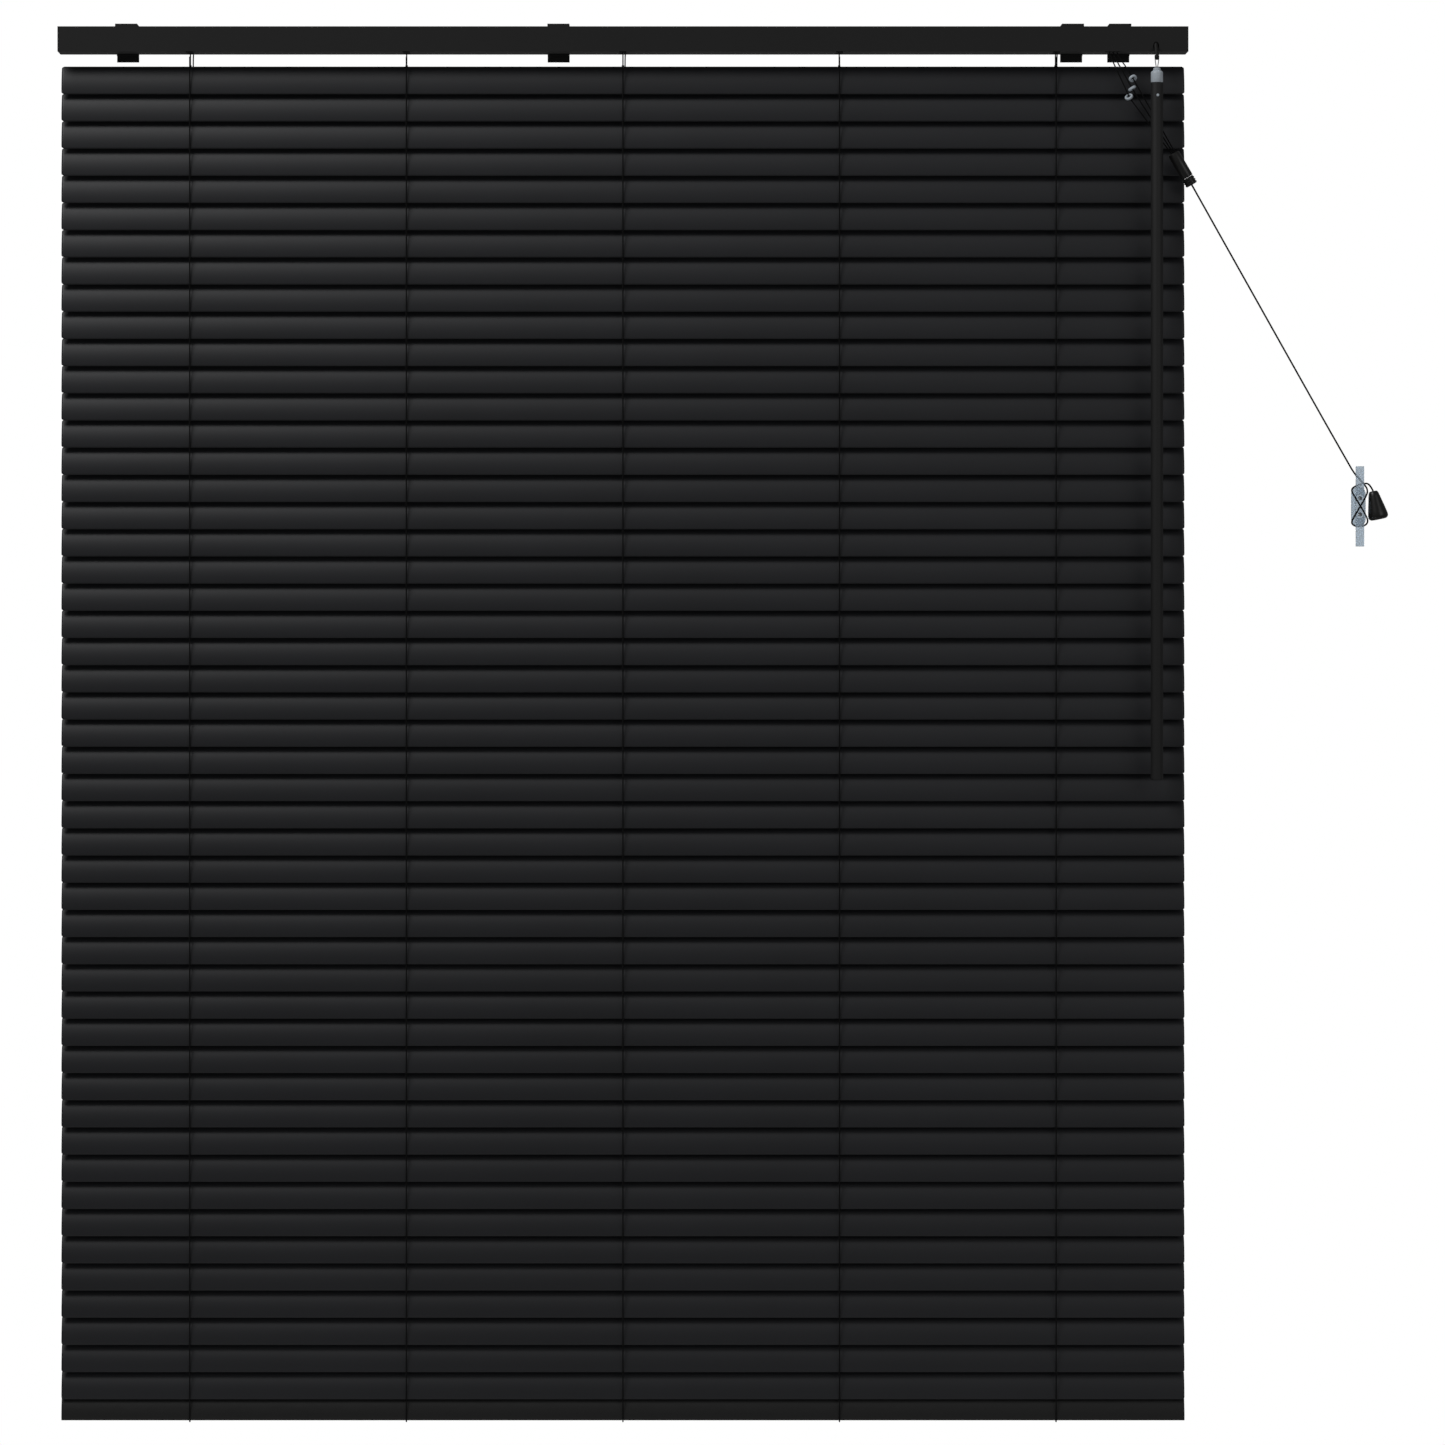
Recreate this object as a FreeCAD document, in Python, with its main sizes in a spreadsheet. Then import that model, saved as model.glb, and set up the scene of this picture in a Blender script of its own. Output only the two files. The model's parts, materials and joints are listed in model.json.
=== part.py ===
"""Venetian blinds with tilting slats, in millimetres.

X runs along the headrail, -Y points into the room and +Z up. The origin is on the wall plane,
at the middle of the headrail's top edge. The slats are drawn closed, front edges down.
"""
import FreeCAD, Part, Sketcher

import math
import os
import re

from FreeCAD import Placement, Rotation, Vector

DIMENSIONS = {
    # headrail: an open-topped channel with two inward lips
    "rail_length": 1050, "rail_depth": 34, "rail_height": 23.3, "rail_wall": 0.6, "rail_lip": 8,
    "cap_wall": 1.2, "cap_plug": 10, "loose_fit": 0.1,
    # where the tilt rod and the slats stand
    "rod_to_wall": 19, "rod_drop": 11, "rod_radius": 2.6, "rod_left": -412, "rod_right": 508,
    # slats
    "slat_length": 1045, "slat_chord": 27.2, "slat_crown": 2, "slat_wall": 0.4,
    "slat_pitch": 25.3, "first_slat_drop": 48.8, "closed_tilt": 75,
    # ladders, and the drums and cradles that carry them
    "ladder_spacing": 201.5, "ladder_gap": 1.5, "ladder_radius": 0.6, "ladder_top": 27.1,
    "drum_radius": 4, "drum_length": 9, "cradle_wall": 1.5, "cradle_depth": 18, "cradle_bridge": 7,
    "slot_width": 6.4, "slot_inner": 3.9, "slot_outer": 16,
    # bottom rail, an oval tube
    "base_drop": 1284.3, "base_width": 24, "base_height": 6, "base_wall": 0.8, "plug_radius": 3.5,
    # tilter: wheel on the rod, worm on a leaning stem, wand hanging from the stem
    "tilter_x": 495, "wheel_radius": 5, "wheel_width": 6, "worm_radius": 2.6, "worm_core": 1.8,
    "mesh_distance": 7.8, "stem_lean": 41.7, "stem_reach": 30.3, "stem_radius": 1.9, "eye_radius": 1.1,
    "wand_radius": 5.75, "wand_top": 53, "wand_length": 646.6, "sleeve_top": 41, "hook_radius": 0.8,
    # cord lock, cords and what hangs on them
    "lock_x": 455, "lock_roof_drop": 3.4, "lift_radius": 0.6, "pull_radius": 0.8,
    "condenser_radius": 5.6, "condenser_length": 34, "tassel_length": 27, "stop_radius": 4,
    # brackets and cleat
    "bracket_width": 20.5, "bracket_reach": 27, "bracket_wall": 1.5, "bracket_rise": 3.3, "bracket_tail": 7.2,
    "screw_radius": 2.2, "screw_spacing": 10, "screw_drop": 13,
    "cleat_x": 686.7, "cleat_drop": 445.3, "cleat_length": 74.7, "cleat_width": 7.5,
    "foot_width": 13.4, "foot_length": 37.3, "foot_wall": 2.5, "horn_back": 12, "horn_front": 16,
    "cleat_hole_radius": 2, "cleat_hole_spacing": 15,
}
SLAT_COUNT = 49
LADDERS = (-2, -1, 0, 1, 2)
BRACKETS_X = (-462, -60, 418.5, 462.5)
WHEEL_TEETH = 12

ALONG_X = Rotation(Vector(0, 1, 0), 90)
ALONG_Y = Rotation(Vector(1, 0, 0), -90)
SECTION_PLANE = Rotation(Vector(1, 1, 1), 120)
STEM_LINE = Rotation(Vector(1, 0, 0), 180 - DIMENSIONS["stem_lean"])

doc = FreeCAD.newDocument("VenetianBlinds")
sheet = doc.addObject("Spreadsheet::Sheet", "Dimensions")
for row, (alias, value) in enumerate(DIMENSIONS.items(), 1):
    sheet.set(f"A{row}", alias)
    sheet.set(f"B{row}", str(value))
    sheet.setAlias(f"B{row}", alias)
doc.recompute()
subparts = []


def size(alias):
    """A cell of the sheet, for shapes and routes that the code works out itself."""
    return float(sheet.get(alias))


def formula(text):
    """The text as an expression in which each named size is read from the sheet."""
    def named(match):
        word = match.group()
        return "Dimensions." + word if word in DIMENSIONS else word
    return re.sub(r"[a-z][a-z_]+", named, str(text))


def bind(item, **sizes):
    for name, text in sizes.items():
        item.setExpression(name, formula(text))
    return item


def stand(item, at, rotation=None):
    """Puts the item at three formulas, turned by a fixed rotation."""
    item.Placement = Placement(Vector(), rotation or Rotation())
    for axis, text in zip("xyz", at):
        item.setExpression(f".Placement.Base.{axis}", formula(text))
    return item


def block(length, width, height, corner):
    item = bind(doc.addObject("Part::Box", "Block"), Length=length, Width=width, Height=height)
    return stand(item, corner)


def bar(radius, length, at, rotation=ALONG_X):
    item = bind(doc.addObject("Part::Cylinder", "Bar"), Radius=radius, Height=length)
    return stand(item, at, rotation)


def hexagon(radius, length, at):
    item = bind(doc.addObject("Part::Prism", "Hexagon"), Circumradius=radius, Height=length)
    return stand(item, at, ALONG_X)


def fuse(*items):
    item = doc.addObject("Part::MultiFuse", "Fuse")
    item.Shapes = list(items)
    return item


def cut(base, *tools):
    item = doc.addObject("Part::Cut", "Cut")
    item.Base = base
    item.Tool = tools[0] if len(tools) == 1 else fuse(*tools)
    return item


def together(*items):
    """Separate solids that move as one piece."""
    item = doc.addObject("Part::Compound", "Set")
    item.Links = list(items)
    return item


def name_part(item, name):
    item.Label = name
    subparts.append(item)
    return item


def ladder_x(ladder):
    return f"({ladder} * ladder_spacing)"


# ---- headrail -------------------------------------------------------------------------------------

def make_headrail():
    start = "cap_wall - rail_length / 2"
    length = "rail_length - 2 * cap_wall"
    back = "rail_depth / 2 - rod_to_wall"
    front = "-rail_depth / 2 - rod_to_wall"
    body = block(length, "rail_depth", "rail_height", (start, front, "-rail_height"))
    hollow = block(
        length, "rail_depth - 2 * rail_wall", "rail_height - 2 * rail_wall",
        (start, f"{front} + rail_wall", "rail_wall - rail_height"),
    )
    mouth = block(
        length, "rail_depth - 2 * rail_lip", "3 * rail_wall",
        (start, f"{front} + rail_lip", "-2 * rail_wall"),
    )
    openings = []
    slot = "slot_outer - slot_inner"
    for ladder in LADDERS:
        for corner_y in ("slot_inner - rod_to_wall", "-slot_outer - rod_to_wall"):
            corner = (f"{ladder_x(ladder)} - slot_width / 2", corner_y, "-rail_height - 1")
            openings.append(block("slot_width", slot, "3", corner))
    openings.append(block("14", "6", "3", ("lock_x - 7", "-rod_to_wall - slot_outer", "-rail_height - 1")))
    openings.append(stem_bar("stem_radius + 0.8", 8, 40))
    return name_part(cut(body, hollow, mouth, *openings), "headrail")


def stem_bar(radius, start, length):
    """A bar on the tilter stem's leaning line, starting that far from the point nearest the rod."""
    at = (
        "tilter_x",
        f"-rod_to_wall - mesh_distance * cos(stem_lean * 1 deg) - {start} * sin(stem_lean * 1 deg)",
        f"-rod_drop + mesh_distance * sin(stem_lean * 1 deg) - {start} * cos(stem_lean * 1 deg)",
    )
    return bar(radius, length, at, STEM_LINE)


# ---- fittings inside the headrail -----------------------------------------------------------------

def make_end_cap(side):
    """A plate over the channel's end with a hollow plug that goes inside it."""
    plate_x = "-rail_length / 2" if side < 0 else "rail_length / 2 - cap_wall"
    plug_x = "cap_wall - rail_length / 2" if side < 0 else "rail_length / 2 - cap_wall - cap_plug"
    corner = (plate_x, "-rail_depth / 2 - rod_to_wall", "-rail_height")
    plate = block("cap_wall", "rail_depth", "rail_height", corner)
    inset = "rail_wall + loose_fit"
    plug = block(
        "cap_plug", f"rail_depth - 2 * ({inset})", f"rail_height - 2 * ({inset})",
        (plug_x, f"-rail_depth / 2 - rod_to_wall + {inset}", f"{inset} - rail_height"),
    )
    inset = "rail_wall + loose_fit + 1.2"
    hollow = block(
        "cap_plug", f"rail_depth - 2 * ({inset})", f"rail_height - 2 * ({inset})",
        (plug_x, f"-rail_depth / 2 - rod_to_wall + {inset}", f"{inset} - rail_height"),
    )
    return fuse(plate, cut(plug, hollow))


def make_cradle(ladder):
    """Two bearing walls for the tilt rod, one each side of a drum, on a narrow foot."""
    floor = "rail_wall + loose_fit - rail_height"
    gap = "drum_length / 2 + 0.5"
    walls = []
    for wall_x in (f"-({gap}) - cradle_wall", gap):
        corner = (f"{ladder_x(ladder)} + {wall_x}", "-cradle_depth / 2 - rod_to_wall", floor)
        walls.append(block("cradle_wall", "cradle_depth", "16", corner))
    corner = (f"{ladder_x(ladder)} - ({gap}) - cradle_wall", "-cradle_bridge / 2 - rod_to_wall", floor)
    foot = block(f"2 * ({gap} + cradle_wall)", "cradle_bridge", "cradle_wall", corner)
    bearing = bar("rod_radius + 0.4", "20", (f"{ladder_x(ladder)} - 10", "-rod_to_wall", "-rod_drop"))
    passage = block(
        "20", "6.4", "4",
        (f"{ladder_x(ladder)} - 10", "-3.2 - rod_to_wall", "cradle_wall - 0.7 - rail_height + 1"),
    )
    return cut(fuse(*walls, foot), bearing, passage)


def make_tilter_case():
    """An open-topped box round the worm and wheel, bored for the rod and for the leaning stem."""
    floor = "rail_wall + loose_fit - rail_height"
    box = block("20", "21", "20.5", ("tilter_x - 10", "-13 - rod_to_wall", floor))
    hollow = block("17.6", "18.6", "20.5", ("tilter_x - 8.8", "-11.8 - rod_to_wall", f"{floor} + 1.2"))
    rod_bore = bar("rod_radius + 0.4", "30", ("tilter_x - 15", "-rod_to_wall", "-rod_drop"))
    return cut(box, hollow, rod_bore, stem_bar("stem_radius + 0.6", 6, 20))


def make_cord_lock():
    """A saddle with a roller on a pin; the cords pass under the roller and out through the floor."""
    left, roof_top = "lock_x - 8", "-lock_roof_drop"
    front = "-16.2 - rod_to_wall"
    rear = block("16", "1.4", "11.4", (left, "-5.4 - rod_to_wall", f"{roof_top} - 11.4"))
    roof = block("16", "12.2", "1.4", (left, front, f"{roof_top} - 1.4"))
    side = block("1.4", "12.2", "19", ("lock_x + 6.6", front, f"{roof_top} - 19"))
    hanger = block("1.4", "5", "9", (left, "-12.5 - rod_to_wall", f"{roof_top} - 9"))
    axle = ("lock_x - 10", "-10 - rod_to_wall", "0.5 - rod_drop")
    saddle = cut(fuse(rear, roof, side, hanger), bar("0.9", "20", axle))
    roller = cut(bar("2.4", "12.4", ("lock_x - 6.2", *axle[1:])), bar("0.9", "20", axle))
    pin = bar("0.8", "15.6", ("lock_x - 7.8", *axle[1:]))
    return [saddle, roller, pin]


def make_fittings():
    caps = [make_end_cap(-1), make_end_cap(1)]
    cradles = [make_cradle(ladder) for ladder in LADDERS]
    return name_part(together(*caps, *cradles, make_tilter_case(), *make_cord_lock()), "headrail_fittings")


# ---- tilting drive --------------------------------------------------------------------------------

def make_wheel():
    blank = bar("wheel_radius", "wheel_width", ("-wheel_width / 2", "0", "0"))
    gaps = []
    for tooth in range(WHEEL_TEETH):
        gap = block("wheel_width + 2", "1.1", "2", ("-wheel_width / 2 - 1", "-0.55", "wheel_radius - 0.9"))
        holder = doc.addObject("Part::Compound", "Gap")
        holder.Links = [gap]
        holder.Placement = Placement(Vector(), Rotation(Vector(1, 0, 0), 360 / WHEEL_TEETH * tooth))
        gaps.append(holder)
    bore = hexagon("rod_radius + 0.08", "wheel_width + 2", ("-wheel_width / 2 - 1", "0", "0"))
    wheel = cut(blank, fuse(*gaps), bore)
    return stand(together(wheel), ("tilter_x", "-rod_to_wall", "-rod_drop"))


def make_tilt_rod():
    rod = hexagon("rod_radius", "rod_right - rod_left", ("rod_left", "-rod_to_wall", "-rod_drop"))
    drums = []
    for ladder in LADDERS:
        start = f"{ladder_x(ladder)} - drum_length / 2"
        drum = bar("drum_radius", "drum_length", (start, "-rod_to_wall", "-rod_drop"))
        bore = hexagon("rod_radius + 0.08", "drum_length + 2", (f"{start} - 1", "-rod_to_wall", "-rod_drop"))
        drums.append(cut(drum, bore))
    return name_part(together(rod, *drums, make_wheel()), "tilt_rod")


def make_tilter_worm():
    """The worm's ribbed barrel and its stem, which ends in an eye for the wand's hook."""
    core = stem_bar("worm_core", -5, 12)
    rings = [stem_bar("worm_radius", start, 1) for start in (-4.5, -2.5, -0.5, 1.5, 3.5)]
    stem = stem_bar("stem_radius", 6, 27.5)
    at = (
        "tilter_x - 5",
        "-rod_to_wall - mesh_distance * cos(stem_lean * 1 deg) - stem_reach * sin(stem_lean * 1 deg)",
        "-rod_drop + mesh_distance * sin(stem_lean * 1 deg) - stem_reach * cos(stem_lean * 1 deg)",
    )
    return name_part(cut(fuse(core, *rings, stem), bar("eye_radius", "10", at)), "tilter_worm")


def make_wand():
    """The rod with a cross pin, the clear sleeve at its top and the shank of its wire hook."""
    wand_y = "-rod_to_wall - mesh_distance * cos(stem_lean * 1 deg) - stem_reach * sin(stem_lean * 1 deg)"
    def upright(radius, length, top):
        return bar(radius, length, ("tilter_x", wand_y, f"-({top}) - ({length})"), Rotation())
    rod = upright("wand_radius", "wand_length", "wand_top")
    socket = upright("hook_radius + 0.1", "20", "wand_top - 1")
    pin_at = ("tilter_x", f"{wand_y} - 7", "-wand_top - 12")
    rod = cut(rod, socket, bar("1.3", "14", pin_at, ALONG_Y))
    pin = bar("1.2", "12.1", ("tilter_x", f"{wand_y} - 6.05", "-wand_top - 12"), ALONG_Y)
    pin = cut(pin, upright("hook_radius + 0.1", "20", "wand_top - 1"))
    sleeve = cut(
        upright("wand_radius - 0.2", "wand_top - sleeve_top - 0.1", "sleeve_top"),
        upright("hook_radius + 0.1", "20", "sleeve_top - 1"),
    )
    hook = upright("hook_radius", "29", "stem_reach + 5.5")
    return name_part(together(rod, pin, sleeve, hook), "tilt_wand")


# ---- slats, bottom rail and ladders ---------------------------------------------------------------

def make_slat_section():
    """The slat's crowned strip: two concentric arcs closed by short radial ends."""
    half, crown, wall = size("slat_chord") / 2, size("slat_crown"), size("slat_wall")
    radius = (half ** 2 + crown ** 2) / (2 * crown)
    start = math.asin((radius - crown) / radius)
    centre, up = Vector(0, crown - radius, 0), Vector(0, 0, 1)
    sketch = doc.addObject("Sketcher::SketchObject", "SlatSection")
    arcs = [
        Part.ArcOfCircle(Part.Circle(centre, up, arc_radius), start, math.pi - start)
        for arc_radius in (radius, radius - wall)
    ]
    ends = [
        Part.LineSegment(arcs[0].StartPoint, arcs[1].StartPoint),
        Part.LineSegment(arcs[0].EndPoint, arcs[1].EndPoint),
    ]
    sketch.addGeometry(arcs + ends)
    make = Sketcher.Constraint
    sketch.addConstraint([
        make("Coincident", 0, 1, 2, 1), make("Coincident", 1, 1, 2, 2),
        make("Coincident", 0, 2, 3, 1), make("Coincident", 1, 2, 3, 2),
        make("Coincident", 0, 3, 1, 3), make("PointOnObject", 0, 3, -2),
        make("PointOnObject", 0, 1, -1), make("PointOnObject", 0, 2, -1),
        make("PointOnObject", 0, 3, 2), make("PointOnObject", 0, 3, 3),
    ])
    outer = sketch.addConstraint(make("Radius", 0, radius))
    inner = sketch.addConstraint(make("Radius", 1, radius - wall))
    chord = sketch.addConstraint(make("Distance", 0, 1, 0, 2, 2 * half))
    bend = "(slat_chord ^ 2 / 4 + slat_crown ^ 2) / (2 * slat_crown)"
    for index, name, text in (
        (outer, "crown_radius", bend), (inner, "under_radius", f"{bend} - slat_wall"),
        (chord, "chord", "slat_chord"),
    ):
        sketch.renameConstraint(index, name)
        sketch.setExpression(f"Constraints.{name}", formula(text))
    sketch.Placement = Placement(Vector(), SECTION_PLANE)
    return sketch


def extrude(section, length):
    item = doc.addObject("Part::Extrusion", "Run")
    item.Base = section
    item.DirMode = "Custom"
    item.Dir = Vector(1, 0, 0)
    item.Solid = True
    item.Symmetric = True
    return bind(item, LengthFwd=length)


def tilt(item, drop):
    """Hangs the item on the blind's middle plane, turned to the closed position about its own long axis."""
    item.Placement = Placement(Vector(), Rotation(Vector(1, 0, 0), size("closed_tilt")))
    item.setExpression(".Placement.Base.y", formula("-rod_to_wall"))
    item.setExpression(".Placement.Base.z", formula(f"-({drop})"))
    item.setExpression(".Placement.Rotation.Angle", formula("closed_tilt"))
    return item


def make_slats():
    section = make_slat_section()
    for index in range(SLAT_COUNT):
        slat = tilt(extrude(section, "slat_length"), f"first_slat_drop + {index} * slat_pitch")
        name_part(slat, f"slat_{index + 1:02d}")


def oval(inset):
    edge = bind(
        doc.addObject("Part::Ellipse", "Oval"),
        MajorRadius=f"base_width / 2 - ({inset})", MinorRadius=f"base_height / 2 - ({inset})",
    )
    edge.Placement = Placement(Vector(), SECTION_PLANE)
    return edge


def make_bottom_rail():
    """An oval tube with a cap in each end and a cord plug under each ladder."""
    tube = cut(
        extrude(oval("0"), "slat_length - 2 * cap_wall"), extrude(oval("base_wall"), "slat_length"),
        *[plug_bar(ladder, "plug_radius - 1.4", "4") for ladder in LADDERS],
    )
    caps = []
    for side in (-1, 1):
        plate = extrude(oval("0"), "cap_wall")
        plug = extrude(oval("base_wall + loose_fit"), "cap_plug")
        stand(plate, (f"{side} * (slat_length / 2 - cap_wall / 2)", "0", "0"))
        stand(plug, (f"{side} * (slat_length / 2 - cap_wall - cap_plug / 2)", "0", "0"))
        caps.append(fuse(plate, plug))
    plugs = []
    for ladder in LADDERS:
        head = cut(plug_bar(ladder, "plug_radius", "1.2", "0.7"), extrude(oval("-0.02"), "slat_length"))
        stem = plug_bar(ladder, "plug_radius - 1.5", "2.6", "0.1")
        plugs.append(fuse(head, stem))
    rail = together(tube, *caps, *plugs)
    return name_part(tilt(rail, "base_drop"), "bottom_rail")


def plug_bar(ladder, radius, length, below="2"):
    """A short upright bar under the rail, whose lower end is that far below the rail's underside."""
    return bar(radius, length, (ladder_x(ladder), "0", f"-base_height / 2 - ({below})"), Rotation())


def make_ladders():
    """Each ladder's upright cords stand just outside the slats' edges, front and rear."""
    edge_out = "slat_chord / 2 * cos(closed_tilt * 1 deg) + ladder_gap"
    edge_down = "slat_chord / 2 * sin(closed_tilt * 1 deg)"
    front_foot = "base_drop + base_width / 2"
    rear_foot = f"{front_foot} - 2 * {edge_down}"
    for name, side, top, foot in (
        ("ladder_cords_front", -1, "ladder_top", front_foot),
        ("ladder_cords_rear", 1, f"ladder_top - 2 * {edge_down}", rear_foot),
    ):
        cords = []
        for ladder in LADDERS:
            at = (ladder_x(ladder), f"-rod_to_wall + {side} * ({edge_out})", f"-({foot})")
            cords.append(bar("ladder_radius", f"{foot} - ({top})", at, Rotation()))
        name_part(together(*cords), name)


# ---- wall fixings ---------------------------------------------------------------------------------

def make_bracket(middle):
    """A wall plate with a hook over the headrail's front lip and a ledge under its rear corner."""
    left = f"{middle} - bracket_width / 2"
    top = "bracket_rise"
    plate = block(
        "bracket_width", "bracket_wall", "bracket_rise + rail_height + bracket_tail",
        (left, "-bracket_wall", "-rail_height - bracket_tail"),
    )
    arm = block(
        "bracket_width", "bracket_reach", "bracket_wall", (left, "-bracket_reach", f"{top} - bracket_wall")
    )
    drop = block("bracket_width", "bracket_wall", "bracket_rise + 2.4", (left, "-bracket_reach", "-2.4"))
    toe = block("bracket_width", "4.5", "1.4", (left, "-bracket_reach - 4.5", "-2.4"))
    ledge = block("bracket_width", "6", "1.4", (left, "-6", "-rail_height - 1.6"))
    holes = [
        bar(
            "screw_radius", "bracket_wall + 2",
            (middle, "-bracket_wall - 1", f"-screw_drop + {side} * screw_spacing / 2"), ALONG_Y,
        )
        for side in (-1, 1)
    ]
    return cut(fuse(plate, arm, drop, toe, ledge), *holes)


def make_cleat():
    """A cord cleat: a foot on the wall, a waist and a bar whose two ends are the horns."""
    middle = "-cleat_drop"
    foot = rounded_bar("foot_width", "foot_length", "foot_wall", "-foot_wall")
    waist = rounded_bar("cleat_width", "22", "horn_back", "-horn_back - 0.5")
    horns = block(
        "cleat_width", "horn_front - horn_back", "cleat_length",
        ("cleat_x - cleat_width / 2", "-horn_front", "-cleat_drop - cleat_length / 2"),
    )
    holes = [
        bar(
            "cleat_hole_radius", "horn_front + 2",
            ("cleat_x", "-horn_front - 1", f"{middle} + {side} * cleat_hole_spacing / 2"), ALONG_Y,
        )
        for side in (-1, 1)
    ]
    return cut(fuse(foot, waist, horns), *holes)


def rounded_bar(width, length, depth, front):
    """An upright bar with half-round ends, its front face at that y."""
    straight = f"({length} - {width})"
    core = block(width, depth, straight, (f"cleat_x - {width} / 2", front, f"-cleat_drop - {straight} / 2"))
    ends = [
        bar(f"{width} / 2", depth, ("cleat_x", front, f"-cleat_drop + {side} * {straight} / 2"), ALONG_Y)
        for side in (-1, 1)
    ]
    return fuse(core, *ends)


def make_wall_fixings():
    brackets = [make_bracket(middle) for middle in BRACKETS_X]
    return name_part(together(*brackets, make_cleat()), "wall_fixings")


# ---- lift cords, pull cord and what is on them ----------------------------------------------------
# Each route is a list of (x, y, z, bend radius). Runs are straight and joined by tangent arcs.

CONDENSER_TOP = Vector(510.8, -38.8, -118.2)
CONDENSER_LINE = Vector(0.504, 0, -0.864)
TASSEL_TOP = Vector(699.2, -12, -431)
TASSEL_LINE = Vector(0.2, 0, -0.98)
STOPS = (  # where each lift cord's stop sits, and how far its ring is turned towards the room
    (Vector(469.7, -36.2, -65.6), -38), (Vector(472.7, -36.2, -57.7), 4), (Vector(473.4, -36.2, -48.4), 38),
)


def lift_route(index):
    """From the bottom rail up behind the slats, along the headrail, and down to the condenser."""
    riser = 2 * (index - 1) * size("ladder_spacing") + 2
    lane = 2.2 * (index - 1) - size("rod_to_wall")
    exit_x = size("lock_x") + 3.5 * (index - 1)
    stop = STOPS[index][0]
    end = CONDENSER_TOP + Vector(1.5 * (index - 1), 0, 0.9 * (index - 1))
    return [
        (riser, -4.1, -1284, 0), (riser, -4.1, -19.6, 2.5), (riser + 26, lane, -18.5, 20),
        (440, lane, -18.5, 12), (exit_x, -27.6, -17.2, 4), (exit_x, -33.6, -25, 8),
        (stop.x, stop.y, stop.z, 30), (end.x, end.y, end.z, 0),
    ]


def pull_route():
    """From the condenser to the cleat, one figure of eight round its horns, and out to the tassel."""
    x, z = size("cleat_x"), -size("cleat_drop")
    start = CONDENSER_TOP + CONDENSER_LINE * size("condenser_length")
    return [
        (start.x, start.y, start.z, 0),
        (x - 6, -8.6, z + 30, 6), (x + 4, -8.2, z + 24.5, 3), (x + 6.6, -11, z + 19, 3),
        (x + 5.3, -17.1, z + 11, 3), (x - 5.3, -17.1, z - 11, 3), (x - 6.4, -10.5, z - 17, 3),
        (x - 3.6, -7.4, z - 23, 3), (x + 3.6, -7.4, z - 23, 3), (x + 6.4, -10.5, z - 17, 3),
        (x + 5.3, -19, z - 10.5, 3), (x - 5.3, -19, z + 10.5, 3), (x - 6.4, -9.5, z + 15.5, 3),
        (x - 2.6, -5.2, z + 21, 3), (x + 4.4, -5.2, z + 24, 3), (x + 9.8, -8.5, z + 24.5, 3),
        (TASSEL_TOP.x, TASSEL_TOP.y, TASSEL_TOP.z, 0),
    ]


def tube(name, route, radius):
    """A round cord along the route, as a swept solid; prints its arcs and compares its volume."""
    corners = [Vector(*point[:3]) for point in route]
    edges, here, radii = [], corners[0], []
    for before, corner, after, point in zip(corners, corners[1:], corners[2:], route[1:]):
        incoming, outgoing = (corner - before).normalize(), (after - corner).normalize()
        half_turn = incoming.getAngle(outgoing) / 2
        shorter = min((corner - before).Length, (after - corner).Length)
        reach = min(point[3] * math.tan(half_turn), 0.45 * shorter)
        radii.append(reach / math.tan(half_turn))
        first, last = corner - incoming * reach, corner + outgoing * reach
        chord_middle = (first + last) / 2
        towards = (chord_middle - corner).normalize()
        middle = corner + towards * (radii[-1] / math.cos(half_turn) - radii[-1])
        edges.append(Part.LineSegment(here, first).toShape())
        edges.append(Part.Arc(first, middle, last).toShape())
        here = last
    edges.append(Part.LineSegment(here, corners[-1]).toShape())
    path = Part.Wire(edges)
    circle = Part.Circle(corners[0], corners[1] - corners[0], radius).toShape()
    solid = path.makePipeShell([Part.Wire([circle])], True, False)
    ratio = solid.Volume / (math.pi * radius ** 2 * path.Length)
    print(f"{name}: {path.Length:.0f} long, volume ratio {ratio:.3f}, arcs {[round(r, 1) for r in radii]}")
    return solid


def make_cords():
    solids = [tube(f"lift cord {index + 1}", lift_route(index), size("lift_radius")) for index in range(3)]
    solids.append(tube("pull cord", pull_route(), size("pull_radius")))
    cords = doc.addObject("Part::Feature", "Cords")
    cords.Shape = Part.Compound(solids)
    return name_part(cords, "lift_cords")


def aim(line):
    return Rotation(Vector(0, 0, 1), line)


def place_along(item, origin, line):
    item.Placement = Placement(origin, aim(line))
    return item


def make_condenser():
    """A barrel that takes three cords at its top, and the ribbed cap below it that takes one."""
    plain = Rotation()
    barrel = cut(
        bar("condenser_radius", "condenser_length - 8.2", ("0", "0", "0"), plain),
        bar("condenser_radius - 1.3", "condenser_length - 8.2", ("0", "0", "1.5"), plain),
        bar("3", "4", ("0", "0", "-1"), plain),
    )
    ribs = [
        bar("condenser_radius + 0.25", "1.2", ("0", "0", f"condenser_length - {back}"), plain)
        for back in (6.4, 4, 1.6)
    ]
    cap = cut(
        fuse(bar("condenser_radius - 0.3", "8", ("0", "0", "condenser_length - 8"), plain), *ribs),
        bar("condenser_radius - 1.8", "8", ("0", "0", "condenser_length - 9.2"), plain),
        bar("pull_radius + 0.3", "6", ("0", "0", "condenser_length - 3"), plain),
    )
    return place_along(together(barrel, cap), CONDENSER_TOP, CONDENSER_LINE)


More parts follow.
